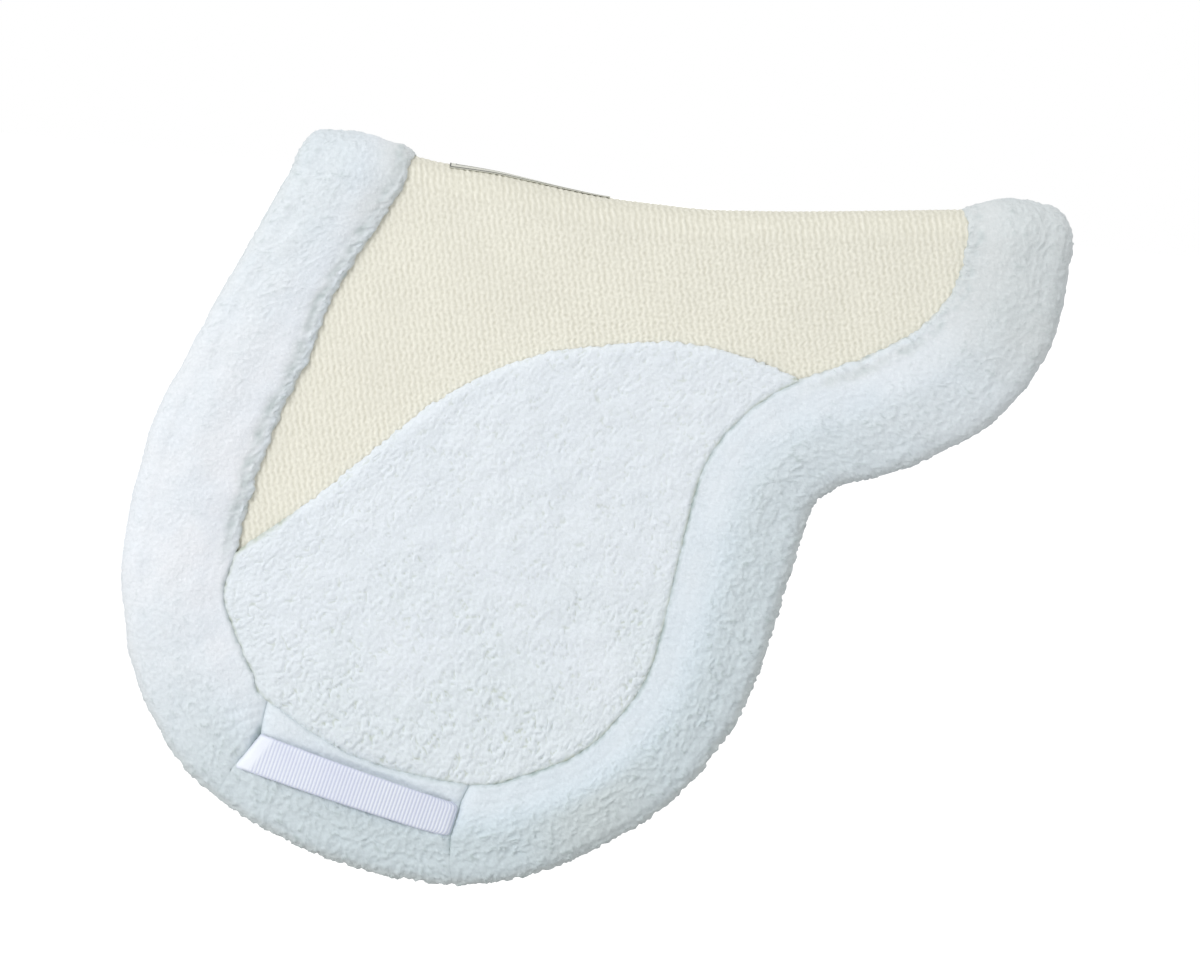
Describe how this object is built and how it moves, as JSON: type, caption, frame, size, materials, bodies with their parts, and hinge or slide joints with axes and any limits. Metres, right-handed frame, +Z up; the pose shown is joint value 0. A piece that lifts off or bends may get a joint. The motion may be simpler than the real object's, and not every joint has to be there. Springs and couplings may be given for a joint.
{
  "type": "saddle pad",
  "caption": "Contoured hunter saddle pad with fleece border, knit mesh seat, sherpa flap panels and webbing girth keepers, folded over its spine.",
  "frame": {"origin": "underside of the spine's lining at the middle of the spine's length, where the pad lies on the horse's back or a rack", "axes": "+X along the spine from the withers to the cantle, +Y to the horse's off side, +Z up; the near half hangs at -Y and the off half at +Y"},
  "size_m": [0.6841, 0.0836, 0.5569],
  "materials": {
    "border_fleece": "bluish white plush fleece",
    "flap_sherpa": "white curly sherpa fleece",
    "knit_mesh": "cream non-slip ribbed knit mesh",
    "foam": "open-cell foam",
    "lining_fleece": "short white fleece",
    "polyester_filler": "polyester wadding",
    "nylon_webbing": "white ribbed nylon webbing",
    "cotton_tape": "cotton twill tape",
    "woven_label": "blank woven label with a dark edge"
  },
  "bodies": {
    "spine": {"spine_mesh_strip": "knit_mesh", "spine_foam_strip": "foam", "spine_lining_strip": "lining_fleece", "withers_border_cover": "border_fleece", "withers_border_filler": "polyester_filler", "cantle_border_cover": "border_fleece", "cantle_border_filler": "polyester_filler", "spine_seam_tape": "cotton_tape", "spine_label": "woven_label"},
    "near_half": {"near_mesh_panel": "knit_mesh", "near_foam_core": "foam", "near_lining": "lining_fleece", "near_flap_fleece": "flap_sherpa", "near_front_border_cover": "border_fleece", "near_front_border_filler": "polyester_filler", "near_bottom_border_cover": "border_fleece", "near_bottom_border_filler": "polyester_filler", "near_rear_border_cover": "border_fleece", "near_rear_border_filler": "polyester_filler", "near_girth_keeper": "nylon_webbing"},
    "off_half": {"off_mesh_panel": "knit_mesh", "off_foam_core": "foam", "off_lining": "lining_fleece", "off_flap_fleece": "flap_sherpa", "off_front_border_cover": "border_fleece", "off_front_border_filler": "polyester_filler", "off_bottom_border_cover": "border_fleece", "off_bottom_border_filler": "polyester_filler", "off_rear_border_cover": "border_fleece", "off_rear_border_filler": "polyester_filler", "off_girth_keeper": "nylon_webbing"}
  },
  "joints": [
    {"name": "near_fold", "type": "hinge", "parent": "spine", "child": "near_half", "pos_m": [0, -0.01257, 0.02697], "axis": [-1, 0, 0], "range_deg": [0, 90]},
    {"name": "off_fold", "type": "hinge", "parent": "spine", "child": "off_half", "pos_m": [0, 0.01257, 0.02697], "axis": [1, 0, 0], "range_deg": [0, 90]}
  ]
}
